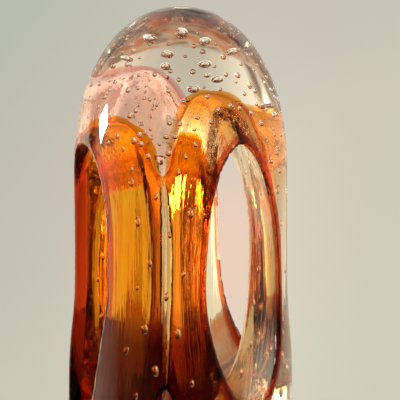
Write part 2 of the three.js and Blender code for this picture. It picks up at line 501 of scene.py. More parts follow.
class Tunnel:
    """A window's tunnel as a smooth shape."""

    SIDE_BLEND = 0.6
    ARCH_BLEND = 0.3
    MOUTH_PINCH = 0.35
    OVERRUN = 12.0
    MOST_STRETCH = 4.0
    HALVINGS = 40
    STEP = 0.05

    def __init__(self, sizes: TunnelSizes, body: BodySizes) -> None:
        """Works out the tunnel's own axes and reach.

        Args:
            sizes: the tunnel.
            body: the bullet that it pierces.
        """
        self.sizes = sizes
        turn = math.radians(sizes.azimuth)
        self.outward = np.array([math.sin(turn), -math.cos(turn), 0.0])
        self.sideways = np.array([math.cos(turn), math.sin(turn), 0.0])
        self.centre = self.outward * sizes.hood_distance + np.array([0, 0, sizes.belt])
        self.hood = sizes.hood_top - sizes.belt
        self.depth = sizes.belt - sizes.floor
        self.mouth = body.radius - sizes.hood_distance
        rise = (sizes.window_top - sizes.belt) / self.hood
        self.outer_reach = self.mouth / math.sqrt(1 - rise * rise)

    def raw(self, points: np.ndarray) -> np.ndarray:
        """How far points lie outside the wall: 0 on it, below 0 in the air, in half widths.

        Args:
            points: places in millimetres.

        Returns:
            The value at each place.
        """
        s = self.sizes
        offset = points - self.centre
        u = offset @ self.outward
        z = offset[:, 2]
        to_mouth = smoothstep(u / self.mouth)

        def between(a: np.ndarray, b: np.ndarray, share: np.ndarray) -> np.ndarray:
            """From a to b."""
            return a + (b - a) * share

        lean = between(s.inner.lean, s.window.lean, to_mouth)
        v = offset @ self.sideways - lean * np.maximum(z, 0) ** 2 / self.hood
        to_right = smoothstep(v / (self.SIDE_BLEND * s.inner.left) + 0.5)
        to_top = smoothstep(z / (self.ARCH_BLEND * self.hood) + 0.5)
        half_width = between(
            between(s.inner.left, s.inner.right, to_right),
            between(s.window.left, s.window.right, to_right),
            to_mouth,
        )
        power = between(
            between(s.inner.arch_floor, s.inner.arch_top, to_top),
            between(s.window.arch_floor, s.window.arch_top, to_top),
            to_mouth,
        )
        fall = np.maximum(1 - (u / self.outer_reach) ** 2, self.MOUTH_PINCH**2)
        half_height = np.where(z > 0, self.hood, self.depth) * np.sqrt(np.where(u > 0, fall, 1))
        across = np.hypot(np.minimum(u, 0) / s.inner_reach, v / half_width)
        return ((np.abs(z) / half_height) ** power + across**power) ** (1 / power) - 1

    def level(self, points: np.ndarray) -> Level:
        """Signed distance of points to the wall, with its slope.

        Args:
            points: places in millimetres.

        Returns:
            Their level, below 0 in the air.
        """
        here = self.raw(points)
        slope = np.stack(
            [
                (self.raw(points + step) - self.raw(points - step)) / (2 * self.STEP)
                for step in np.eye(3) * self.STEP
            ],
            1,
        )
        steepness = np.maximum(np.linalg.norm(slope, axis=1), 1e-6)
        return Level(here / steepness, slope / steepness[:, None])

    def mesh(self, segments: int, rings: int) -> bmesh.types.BMesh:
        """A ball drawn out spoke by spoke to the tunnel's wall, and past the body at its mouth.

        Args:
            segments: faces round the ball.
            rings: faces from pole to pole.

        Returns:
            The cutter, a closed mesh.
        """
        made = bmesh.new()
        bmesh.ops.create_uvsphere(made, u_segments=segments, v_segments=rings, radius=1)
        ball = np.array([vert.co for vert in made.verts])
        reach = np.array([self.sizes.inner.left, self.sizes.inner.left, self.hood])
        spokes = ball * reach
        spokes = spokes[:, :1] * self.outward + spokes[:, 1:2] * self.sideways + spokes[:, 2:] * (0, 0, 1)
        outward = np.maximum(spokes @ self.outward, 1e-6)
        near = np.zeros(len(spokes))
        far = np.minimum(self.MOST_STRETCH, (self.mouth + self.OVERRUN) / outward)
        for _ in range(self.HALVINGS):
            middle = (near + far) / 2
            inside = self.raw(self.centre + spokes * middle[:, None]) < 0
            near, far = np.where(inside, middle, near), np.where(inside, far, middle)
        for vert, place in zip(made.verts, self.centre + spokes * near[:, None]):
            vert.co = place
        return made


class GlassShape:
    """The whole lump of glass: the bullet less its tunnels, with fire-polished rims."""

    def __init__(self, body: BodySizes, mesh: MeshSizes, tunnels: Sequence[TunnelSizes]) -> None:
        """Gathers the bullet and its tunnels.

        Args:
            body: the bullet.
            mesh: roundings and steps.
            tunnels: what pierces it.
        """
        self.mesh_sizes = mesh
        self.outline = BodyOutline(body, mesh)
        self.tunnels = [Tunnel(sizes, body) for sizes in tunnels]

    def air(self, points: np.ndarray) -> Level:
        """Level of the joined tunnels.

        Args:
            points: places in millimetres.

        Returns:
            Their level, below 0 in the air.
        """
        sizes = self.mesh_sizes
        nearness = np.exp(-((np.hypot(points[:, 0], points[:, 1]) / sizes.hub_radius) ** 2))
        blend = sizes.join_round + sizes.hub_round * nearness
        joined: Optional[Level] = None
        for tunnel in self.tunnels:
            level = tunnel.level(points)
            joined = level if joined is None else joined.join(level, blend)
        return joined

    def glass(self, points: np.ndarray) -> Level:
        """Level of the glass, whose rims are rounded."""
        outside = self.outline.level(points).inverted()
        return outside.join(self.air(points), self.mesh_sizes.rim_round).inverted()

    def settle(self, points: np.ndarray) -> np.ndarray:
        """Moves points onto the glass surface, a short way at a time.

        Args:
            points: vertices near the surface.

        Returns:
            Their new places.
        """
        for _ in range(self.mesh_sizes.settle_steps):
            level = self.glass(points)
            steepness = np.maximum((level.slope**2).sum(1), 1e-6)
            move = (level.value / steepness)[:, None] * level.slope
            length = np.maximum(np.linalg.norm(move, axis=1, keepdims=True), 1e-6)
            points = points - move * np.minimum(1, self.mesh_sizes.longest_step / length)
        return points


# Mesh helpers


def link_mesh(name: str, made: bmesh.types.BMesh) -> bpy.types.Object:
    """Makes a smooth-shaded object of a bmesh, which is freed.

    Args:
        name: the object's name.
        made: the mesh.

    Returns:
        The new object, at the origin.
    """
    mesh = bpy.data.meshes.new(name)
    made.to_mesh(mesh)
    made.free()
    mesh.shade_smooth()
    piece = bpy.data.objects.new(name, mesh)
    bpy.context.scene.collection.objects.link(piece)
    return piece


def get_points(piece: bpy.types.Object) -> np.ndarray:
    """The piece's vertices."""
    flat = np.zeros(len(piece.data.vertices) * 3)
    piece.data.vertices.foreach_get("co", flat)
    return flat.reshape(-1, 3)


def set_points(piece: bpy.types.Object, points: np.ndarray) -> None:
    """Moves the piece's vertices."""
    piece.data.vertices.foreach_set("co", points.astype(np.float32).ravel())
    piece.data.update()


def get_normals(piece: bpy.types.Object) -> np.ndarray:
    """The piece's vertex normals."""
    flat = np.zeros(len(piece.data.vertices) * 3, np.float32)
    piece.data.vertex_normals.foreach_get("vector", flat)
    return flat.reshape(-1, 3).astype(float)


def apply_modifiers(piece: bpy.types.Object) -> None:
    """Replaces the piece's mesh by the one that its modifiers make."""
    graph = bpy.context.evaluated_depsgraph_get()
    made = bpy.data.meshes.new_from_object(piece.evaluated_get(graph))
    piece.modifiers.clear()
    piece.data = made


def finish_piece(piece: bpy.types.Object, nodes: Sequence[str]) -> None:
    """Scales a piece to metres, smooths its shading, hangs it on the root and hides the nodes it
    replaces.

    Args:
        piece: the piece, in millimetres.
        nodes: the part's nodes that it replaces.
    """
    piece.data.transform(Matrix.Scale(MM, 4))
    piece.data.shade_smooth()
    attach(piece, ROOT)
    if nodes:
        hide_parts(*nodes)


# Materials


def srgb(code: str) -> Tuple[float, float, float, float]:
    """Linear colour of a hex sRGB code.

    Args:
        code: the colour as #rrggbb.

    Returns:
        Red, green, blue and alpha.
    """
    parts = [int(code[i : i + 2], 16) / 255 for i in (1, 3, 5)]
    linear = [c / 12.92 if c <= 0.04045 else ((c + 0.055) / 1.055) ** 2.4 for c in parts]
    return (*linear, 1.0)


def add_node(
    tree: bpy.types.NodeTree, kind: str, inputs: Optional[Dict] = None, **settings
) -> bpy.types.Node:
    """Adds a shader node.

    Args:
        tree: the node tree.
        kind: the node's type name without "ShaderNode".
        inputs: values or output sockets by input name or index.
        **settings: the node's own properties.

    Returns:
        The node.
    """
    node = tree.nodes.new("ShaderNode" + kind)
    for name, value in settings.items():
        setattr(node, name, value)
    for key, value in (inputs or {}).items():
        if isinstance(value, bpy.types.NodeSocket):
            tree.links.new(value, node.inputs[key])
        else:
            node.inputs[key].default_value = value
    return node


def add_ramp(
    tree: bpy.types.NodeTree,
    value: bpy.types.NodeSocket,
    stops: Sequence[Tuple[float, str]],
    low: float = -1.0,
    high: float = 1.0,
) -> bpy.types.NodeSocket:
    """Adds a colour ramp over a range of values and returns its colour.

    Args:
        tree: the node tree.
        value: what is coloured.
        stops: values and their colours.
        low: value at the ramp's start.
        high: value at its end.

    Returns:
        The colour.
    """
    share = add_node(tree, "MapRange", {"Value": value, "From Min": low, "From Max": high})
    ramp = add_node(tree, "ValToRGB", {"Fac": share.outputs[0]})
    marks = ramp.color_ramp.elements
    while len(marks) < len(stops):
        marks.new(0.5)
    for mark, (place, colour) in zip(marks, sorted(stops)):
        mark.position = (place - low) / (high - low)
        mark.color = srgb(colour)
    return ramp.outputs["Color"]


@dataclass(frozen=True)
class GlassFinish:
    """A glass: its bend of light, its tints and what a millimetre takes out of red, green and blue.

    The tints are a thin layer seen once through. Drawn out streaks mix them, and a fade lets the
    layer run out to nearly clear or into another tint, such as the painted maroon shade at rims.
    """

    name: str
    ior: float
    roughness: float = 0.0
    tints: Optional[Tuple[str, str]] = None
    fades: Tuple[Fade, ...] = ()
    loss: Optional[Triple] = None
    wave_length: float = 30.0
    wave_height: float = 0.0
    streak_width: float = 3.0
    streak_length: float = 60.0
    streak_height: float = 0.0


# Fire-polished: sharp reflections that bend a little over soft waves
CLEAR = GlassFinish("clear_crystal_glass", ior=1.5, wave_length=26.0, wave_height=0.05)
# Pressed hot: fine upright tool marks break up what is seen through the wall
PRESSED = GlassFinish(
    "tool_marked_crystal_glass",
    ior=1.5,
    wave_length=22.0,
    wave_height=0.1,
    streak_width=2.4,
    streak_height=0.22,
)
# Air inside glass: bright rings with dark edges
BUBBLE = GlassFinish("caught_air_in_crystal_glass", ior=1.5)
AMBER_LOSS = (0.015, 0.045, 0.12)
ROSE_LOSS = (0.01, 0.06, 0.055)


def overlay(sizes: TunnelSizes) -> GlassFinish:
    """The coloured glass of a tunnel's skin, which tints light and leaves its bend to the crystal."""
    return GlassFinish(
        sizes.node.replace("_skin_", "_overlay_glass_"),
        ior=1.0,
        tints=sizes.tints,
        fades=sizes.fades,
        loss=ROSE_LOSS if sizes.slot is Slot.ROSE else AMBER_LOSS,
        streak_width=3.2,
        streak_length=70.0,
    )


class GlassLibrary:
    """Makes each glass once."""

    PALE_STREAK, DEEP_STREAK = 0.36, 0.64

    def __init__(self) -> None:
        """Starts with no glass made."""
        self._made: Dict[str, bpy.types.Material] = {}

    def get(self, finish: GlassFinish) -> bpy.types.Material:
        """Returns the material of a finish."""
        if finish.name not in self._made:
            self._made[finish.name] = self._build(finish)
        return self._made[finish.name]

    @staticmethod
    def _build(finish: GlassFinish) -> bpy.types.Material:
        """Makes a glass: refraction, its tint, its relief and its depth of colour.

        Args:
            finish: the glass.

        Returns:
            Its material.
        """
        material = bpy.data.materials.new(finish.name)
        material.use_nodes = True
        tree = material.node_tree
        tree.nodes.clear()
        shader = add_node(
            tree,
            "BsdfPrincipled",
            {
                "Base Color": srgb("#ffffff"),
                "Transmission Weight": 1.0,
                "IOR": finish.ior,
                "Roughness": finish.roughness,
            },
        )
        output = add_node(tree, "OutputMaterial", {"Surface": shader.outputs[0]})
        if finish.tints:
            tree.links.new(GlassLibrary._drawn_tint(tree, finish), shader.inputs["Base Color"])
        if finish.wave_height or finish.streak_height:
            relief = GlassLibrary._relief(tree, finish)
            tree.links.new(relief, shader.inputs["Normal"])
        if finish.loss:
            most = max(finish.loss)
            kept = [1 - loss / most for loss in finish.loss]
            absorb = add_node(tree, "VolumeAbsorption", {"Color": (*kept, 1.0), "Density": most / MM})
            tree.links.new(absorb.outputs[0], output.inputs["Volume"])
        return material

    @staticmethod
    def _streaks(tree: bpy.types.NodeTree, finish: GlassFinish) -> bpy.types.NodeSocket:
        """A noise that is drawn out upright, as hot glass is.

        Args:
            tree: the node tree.
            finish: the glass, with its streaks' width and length.

        Returns:
            The noise, from 0 to 1.
        """
        place = add_node(tree, "TexCoord").outputs["Object"]
        fine, tall = 1 / (finish.streak_width * MM), 1 / (finish.streak_length * MM)
        drawn = add_node(tree, "VectorMath", {0: place, 1: (fine, fine, tall)}, operation="MULTIPLY")
        streaks = add_node(tree, "TexNoise", {"Vector": drawn.outputs[0], "Scale": 1.0, "Detail": 3.0})
        return streaks.outputs[0]

    @staticmethod
    def _drawn_tint(tree: bpy.types.NodeTree, finish: GlassFinish) -> bpy.types.NodeSocket:
        """The pale and the deep tint in upright streaks.

        Args:
            tree: the node tree.
            finish: the glass, with its tints and fades.

        Returns:
            The tint of one way through.
        """
        pale, deep = finish.tints
        streaks = GlassLibrary._streaks(tree, finish)
        edges = {1: GlassLibrary.PALE_STREAK, 2: GlassLibrary.DEEP_STREAK}
        share = add_node(tree, "MapRange", {0: streaks, **edges})
        between = {0: share.outputs[0], 6: srgb(pale), 7: srgb(deep)}
        tint = add_node(tree, "Mix", between, data_type="RGBA").outputs[2]
        for fade in finish.fades:
            edges = {1: fade.other_at * MM, 2: fade.own_at * MM}
            share = add_node(tree, "MapRange", {0: GlassLibrary._reach(tree, fade), **edges})
            between = {0: share.outputs[0], 6: srgb(fade.other), 7: tint}
            tint = add_node(tree, "Mix", between, data_type="RGBA").outputs[2]
        return tint

    @staticmethod
    def _reach(tree: bpy.types.NodeTree, fade: Fade) -> bpy.types.NodeSocket:
        """How far a point lies along the fade's direction, or from the axis.

        Args:
            tree: the node tree.
            fade: the fade, with its direction or none.

        Returns:
            The distance in metres.
        """
        place = add_node(tree, "TexCoord").outputs["Object"]
        if fade.direction:
            return add_node(
                tree, "VectorMath", {0: place, 1: fade.direction}, operation="DOT_PRODUCT"
            ).outputs["Value"]
        level = add_node(tree, "VectorMath", {0: place, 1: (1, 1, 0)}, operation="MULTIPLY")
        return add_node(tree, "VectorMath", {0: level.outputs[0]}, operation="LENGTH").outputs["Value"]

    @staticmethod
    def _relief(tree: bpy.types.NodeTree, finish: GlassFinish) -> bpy.types.NodeSocket:
        """Soft waves of the fire polish, with upright tool marks where the glass was pressed.

        Args:
            tree: the node tree.
            finish: the glass, with the sizes of its waves and marks.

        Returns:
            The bent normal.
        """
        place = add_node(tree, "TexCoord").outputs["Object"]
        per_metre = 1 / (finish.wave_length * MM)
        wave = add_node(tree, "TexNoise", {"Vector": place, "Scale": per_metre, "Detail": 1.0})
        size = {"Strength": 1.0, "Distance": finish.wave_height * MM}
        bump = add_node(tree, "Bump", {"Height": wave.outputs[0], **size}).outputs[0]
        if finish.streak_height:
            marks = GlassLibrary._streaks(tree, finish)
            size["Distance"] = finish.streak_height * MM
            bump = add_node(tree, "Bump", {"Height": marks, "Normal": bump, **size}).outputs[0]
        return bump


# Sub-assemblies


@dataclass
class CrystalBody:
    """The clear lump of glass, both gathers in one, with its four pressed tunnels."""

    shape: GlassShape
    sizes: MeshSizes
    glasses: GlassLibrary
    piece: bpy.types.Object = field(init=False, default=None)

    def build(self) -> bpy.types.Object:
        """Makes the lump, still in millimetres.

        Returns:
            The body.
        """
        piece = link_mesh("crystal_body", self.shape.outline.mesh(self.sizes.round_steps))
        cutters = []
        for tunnel in self.shape.tunnels:
            cutter = link_mesh(
                "cutter_" + tunnel.sizes.node,
                tunnel.mesh(self.sizes.tunnel_segments, self.sizes.tunnel_rings),
            )
            cut = piece.modifiers.new("window", "BOOLEAN")
            cut.operation = "DIFFERENCE"
            cut.solver = "EXACT"
            cut.object = cutter
            cutters.append(cutter)
        apply_modifiers(piece)
        for cutter in cutters:
            bpy.data.objects.remove(cutter)
        for rounds in self.sizes.relax_rounds:
            self._remesh(piece)
            for _ in range(rounds):
                self._relax(piece)
                set_points(piece, self.shape.settle(get_points(piece)))
        self.piece = piece
        return piece

    def _remesh(self, piece: bpy.types.Object) -> None:
        """Gives the body an even mesh and drops any crumbs that came off a thin edge.

        Args:
            piece: the body.
        """
        remesh = piece.modifiers.new("even_mesh", "REMESH")
        remesh.mode = "VOXEL"
        remesh.voxel_size = self.sizes.voxel
        apply_modifiers(piece)
        made = bmesh.new()
        made.from_mesh(piece.data)
        waiting, lumps = set(made.verts), []
        while waiting:
            edge, lump = [waiting.pop()], []
            while edge:
                vert = edge.pop()
                lump.append(vert)
                for link in vert.link_edges:
                    other = link.other_vert(vert)
                    if other in waiting:
                        waiting.discard(other)
                        edge.append(other)
            lumps.append(lump)
        lumps.sort(key=len)
        crumbs = [vert for lump in lumps[:-1] for vert in lump]
        bmesh.ops.delete(made, geom=crumbs, context="VERTS")
        made.to_mesh(piece.data)
        made.free()

    def _relax(self, piece: bpy.types.Object) -> None:
        """Evens out the mesh before it is set on the smooth shape again.

        Args:
            piece: the body.
        """
        made = bmesh.new()
        made.from_mesh(piece.data)
        for _ in range(self.sizes.smooth_passes):
            bmesh.ops.smooth_vert(
                made, verts=made.verts[:], factor=0.5, use_axis_x=True, use_axis_y=True, use_axis_z=True
            )
        made.to_mesh(piece.data)
        made.free()

    def finish(self) -> None:
        """Gives the outside and the pressed walls their glass."""
        piece = self.piece
        centres = np.zeros(len(piece.data.polygons) * 3)
        piece.data.polygons.foreach_get("center", centres)
        centres = centres.reshape(-1, 3)
        pressed = self.shape.outline.level(centres).value < -self.sizes.rim_band
        piece.data.materials.clear()
        piece.data.materials.append(self.glasses.get(CLEAR))
        piece.data.materials.append(self.glasses.get(PRESSED))
        piece.data.polygons.foreach_set("material_index", pressed.astype(np.int32))
        finish_piece(piece, ["clear_casing_gather", "clear_bubble_gather"])


@dataclass
class ColourSkins:
    """The coloured overlay of each tunnel, thicker and thinner in upright streaks."""

    shape: GlassShape
    sizes: MeshSizes
    glasses: GlassLibrary
    crystal: bpy.types.Object

    STREAK_WIDTH = 7.0
    STREAK_LENGTH = 90.0
    FINE_WIDTH = 2.6
    POOL_REACH = 4.5
    LEAST_THICKNESS = 0.1
    THIN_GLASS = 0.8
    SURFACE_CLEARANCE = 0.4
    TRIES = 10
    BROAD, FINE = 1.3, 0.6
    FINE_START = 9

    def build(self) -> List[bpy.types.Object]:
        """Makes one shell for each tunnel, just under the crystal's surface.

        Returns:
            The skins, in the tunnels' order.
        """
        points = get_points(self.crystal)
        owners = self._owners(points)
        seats = points - get_normals(self.crystal) * self.sizes.seat_depth
        skins = []
        for index, tunnel in enumerate(self.shape.tunnels):
            made = bmesh.new()
            made.from_mesh(self.crystal.data)
            for vert, seat in zip(made.verts, seats):
                vert.co = seat
            spare = [face for face in made.faces if owners[face.index] != index]
            bmesh.ops.delete(made, geom=spare, context="FACES")
            skins.append(self._shell(tunnel, made))
        return skins

    def _owners(self, points: np.ndarray) -> List[int]:
        """Number of the tunnel in whose wall each of the crystal's faces lies, or -1 for none.

        Args:
            points: the crystal's vertices.

        Returns:
            A number for each face.
        """
        levels = np.stack([tunnel.level(points).value for tunnel in self.shape.tunnels])
        on_wall = np.abs(self.shape.air(points).value) < self.sizes.wall_band
        on_wall &= self.shape.outline.level(points).value < -self.sizes.rim_band
        owners = []
        for face in self.crystal.data.polygons:
            corners = list(face.vertices)
            owners.append(int(levels[:, corners].sum(1).argmin()) if on_wall[corners].all() else -1)
        return owners

    def _shell(self, tunnel: Tunnel, surface: bmesh.types.BMesh) -> bpy.types.Object:
        """Thickens a tunnel's wall into a closed skin with streaks.

        Args:
            tunnel: the tunnel.
            surface: its wall, which is freed.

        Returns:
            The finished skin.
        """
        piece = link_mesh(tunnel.sizes.node + "_glass", surface)
        group = piece.vertex_groups.new(name="thickness")
        depths = self._thickness(tunnel, get_points(piece))
        for index, depth in enumerate(depths / depths.max()):
            group.add([index], float(depth), "REPLACE")
        solid = piece.modifiers.new("skin", "SOLIDIFY")
        solid.thickness = float(depths.max())
        solid.offset = -1
        solid.use_rim = True
        solid.vertex_group = group.name
        apply_modifiers(piece)
        piece.vertex_groups.clear()
        piece.data.materials.clear()
        piece.data.materials.append(self.glasses.get(overlay(tunnel.sizes)))
        finish_piece(piece, [tunnel.sizes.node])
        return piece

    def _thickness(self, tunnel: Tunnel, points: np.ndarray) -> np.ndarray:
        """Thickness at each point: upright streaks, and a pool of colour along the window's rim.

        Args:
            tunnel: the tunnel.
            points: vertices of its wall.

        Returns:
            Millimetres at each point.
        """
        sizes = tunnel.sizes
        streaks = np.array([self._streak(place) for place in points])
        inward = -self.shape.outline.level(points).value
        pool = sizes.rim_pool * np.exp(-((inward / self.POOL_REACH) ** 2))
        return self._within_glass(points, sizes.skin * (1 + sizes.streak * streaks + pool))

    def _within_glass(self, points: np.ndarray, wanted: np.ndarray) -> np.ndarray:
        """Cuts thicknesses down to what the glass behind each point has room for.

        Args:
            points: vertices of a wall.
            wanted: thickness that each should have.

        Returns:
            Thickness that each can have.
        """
        inward = self.shape.air(points).slope
        inward /= np.maximum(np.linalg.norm(inward, axis=1), 1e-6)[:, None]
        room = np.full(len(points), self.LEAST_THICKNESS)
        for share in np.linspace(1 / self.TRIES, 1, self.TRIES):
            depth = share * wanted
            spots = points + inward * depth[:, None]
            fits = self.shape.air(spots).value > self.THIN_GLASS * depth
            fits &= self.shape.outline.level(spots).value < -self.SURFACE_CLEARANCE
            room = np.where(fits, np.maximum(depth, room), room)
        return room

    def _streak(self, place: np.ndarray) -> float:
        """From -1 to 1: broad upright streaks with finer ones in them.

        Args:
            place: a vertex of a wall.

        Returns:
            The streak there.
        """
        x, y, z = place
        tall = z / self.STREAK_LENGTH
        broad = noise.noise(Vector((x / self.STREAK_WIDTH, y / self.STREAK_WIDTH, tall)))
        fine = noise.noise(Vector((x / self.FINE_WIDTH, y / self.FINE_WIDTH, self.FINE_START + tall)))
        return max(-1.0, min(1.0, self.BROAD * broad + self.FINE * fine))


@dataclass
class CaughtBubbles:
    """Air bubbles between the gathers: round in the dome, drawn out tall in the legs."""

    shape: GlassShape
    body: BodySizes
    sizes: BubbleSizes
    glasses: GlassLibrary

    NEAR_AXIS = 8.0

    def build(self) -> bpy.types.Object:
        """Makes all bubbles as one piece, with normals toward their air.

        Returns:
            The piece.
        """
        s = self.sizes
        draw = random.Random(s.seed)
        made = bmesh.new()
        placed: List[Tuple[Vector, float]] = []
        for place, stretch, size in self._seats(draw):
            long = size * stretch
            if any((place - other).length < s.spacing * (long + reach) for other, reach in placed):
                continue
            placed.append((place, long))
            form = Matrix.Translation(place)
            for axis in "XY":
                form = form @ Matrix.Rotation(draw.uniform(-s.tilt, s.tilt), 4, axis)
            drawn = stretch * draw.uniform(s.drawn_least, s.drawn_most)
            form = form @ Matrix.Diagonal((1, 1, drawn, 1))
            bmesh.ops.create_icosphere(made, subdivisions=2, radius=size, matrix=form)
        bmesh.ops.reverse_faces(made, faces=made.faces[:])
        piece = link_mesh("caught_air_bubbles", made)
        piece.data.materials.append(self.glasses.get(BUBBLE))
        finish_piece(piece, [])
        log.info("bubbles: %d", len(placed))
        return piece

    def _seats(self, draw: random.Random) -> List[Tuple[Vector, float, float]]:
        """Centres on the inner gather, spread by the golden angle, clear of the tunnels.

        Args:
            draw: the seeded random numbers.

        Returns:
            Centre, stretch and radius of each bubble.
        """
        s = self.sizes
        shoulder = self.body.height - self.body.dome_height
        golden = math.pi * (3 - math.sqrt(5))
        rows = []
        for i in range(s.in_dome):
            share = ((i + 0.5) / s.in_dome) ** s.crowding
            rows.append((s.top + (shoulder - s.top) * share, 1.0, i * golden))
        for i in range(s.in_legs):
            share = (i + 0.5) / s.in_legs
            rows.append((shoulder + (s.bottom - shoulder) * share, s.stretch_in_legs, i * golden))
        drawn = []
        for height, stretch, azimuth in rows:
            height = min(height + draw.uniform(-s.jitter, s.jitter), s.top)
            radius = self._gather_radius(height) + draw.uniform(-s.off_gather, s.off_gather)
            azimuth += draw.uniform(-s.jitter, s.jitter) / max(radius, self.NEAR_AXIS)
            size = s.radius_small + (s.radius_large - s.radius_small) * draw.random() ** s.small_share
            drawn.append((math.sin(azimuth), -math.cos(azimuth), radius, height, stretch, size))
        table = np.array(drawn)
        need = table[:, 5] + s.clearance
        seats = [None] * len(drawn)
        for further in reversed(s.ways_out):
            reach = table[:, 2] + further
            spots = np.stack([table[:, 0] * reach, table[:, 1] * reach, table[:, 3]], 1)
            clear = self.shape.outline.level(spots).value < -need
            for tunnel in self.shape.tunnels:
                clear &= tunnel.level(spots).value > need
            for index in np.flatnonzero(clear):
                seats[index] = (Vector(spots[index]), drawn[index][4], drawn[index][5])
        return [seat for seat in seats if seat]

    def _gather_radius(self, height: float) -> float:
        """Radius of the inner gather at a height.

        Args:
            height: millimetres above the foot.

        Returns:
            The radius in millimetres.
        """
        b = self.body
        inner = b.radius - b.casing
        crown = b.height - b.crown_casing
        shoulder = b.height - b.dome_height
        if height <= shoulder:
            return inner
        rise = min((height - shoulder) / (crown - shoulder), 1.0)
        power = self.sizes.dome_power
        return inner * (1 - rise**power) ** (1 / power)


# Studio


MULTIPLIED = {"data_type": "RGBA", "blend_type": "MULTIPLY"}


@dataclass(frozen=True)
class CameraSizes:
    """The photograph's view: level, with the object's foot below the picture's lower edge."""

    distance: float = 900.0
    height: float = 175.3
    picture_width: float = 217.0
    sensor: float = 36.0
    shift_x: float = 0.04875


@dataclass(frozen=True)
class LampSizes:
    """A soft window-like lamp to the left of the object."""

    place: Triple = (-1536.0, 107.0, 590.0)
    aim: Triple = (0.0, 0.0, 200.0)
    width: float = 290.0
    length: float = 290.0
    roll: float = 45.0
    watts: float = 1.0
    spread: float = 40.0


@dataclass(frozen=True)
class Card:
    """A soft card that shades or lights the part of the room behind it.

    starts and full are the nearness to its direction, as a cosine, at its rim and inside it. The
    squeeze is what a ray's direction is multiplied by first, and below 1 it draws the card out.
    """

    toward: Triple
    starts: float
    full: float
    tone: str
    power: float = 1.0
    squeeze: Triple = (1.0, 1.0, 1.0)


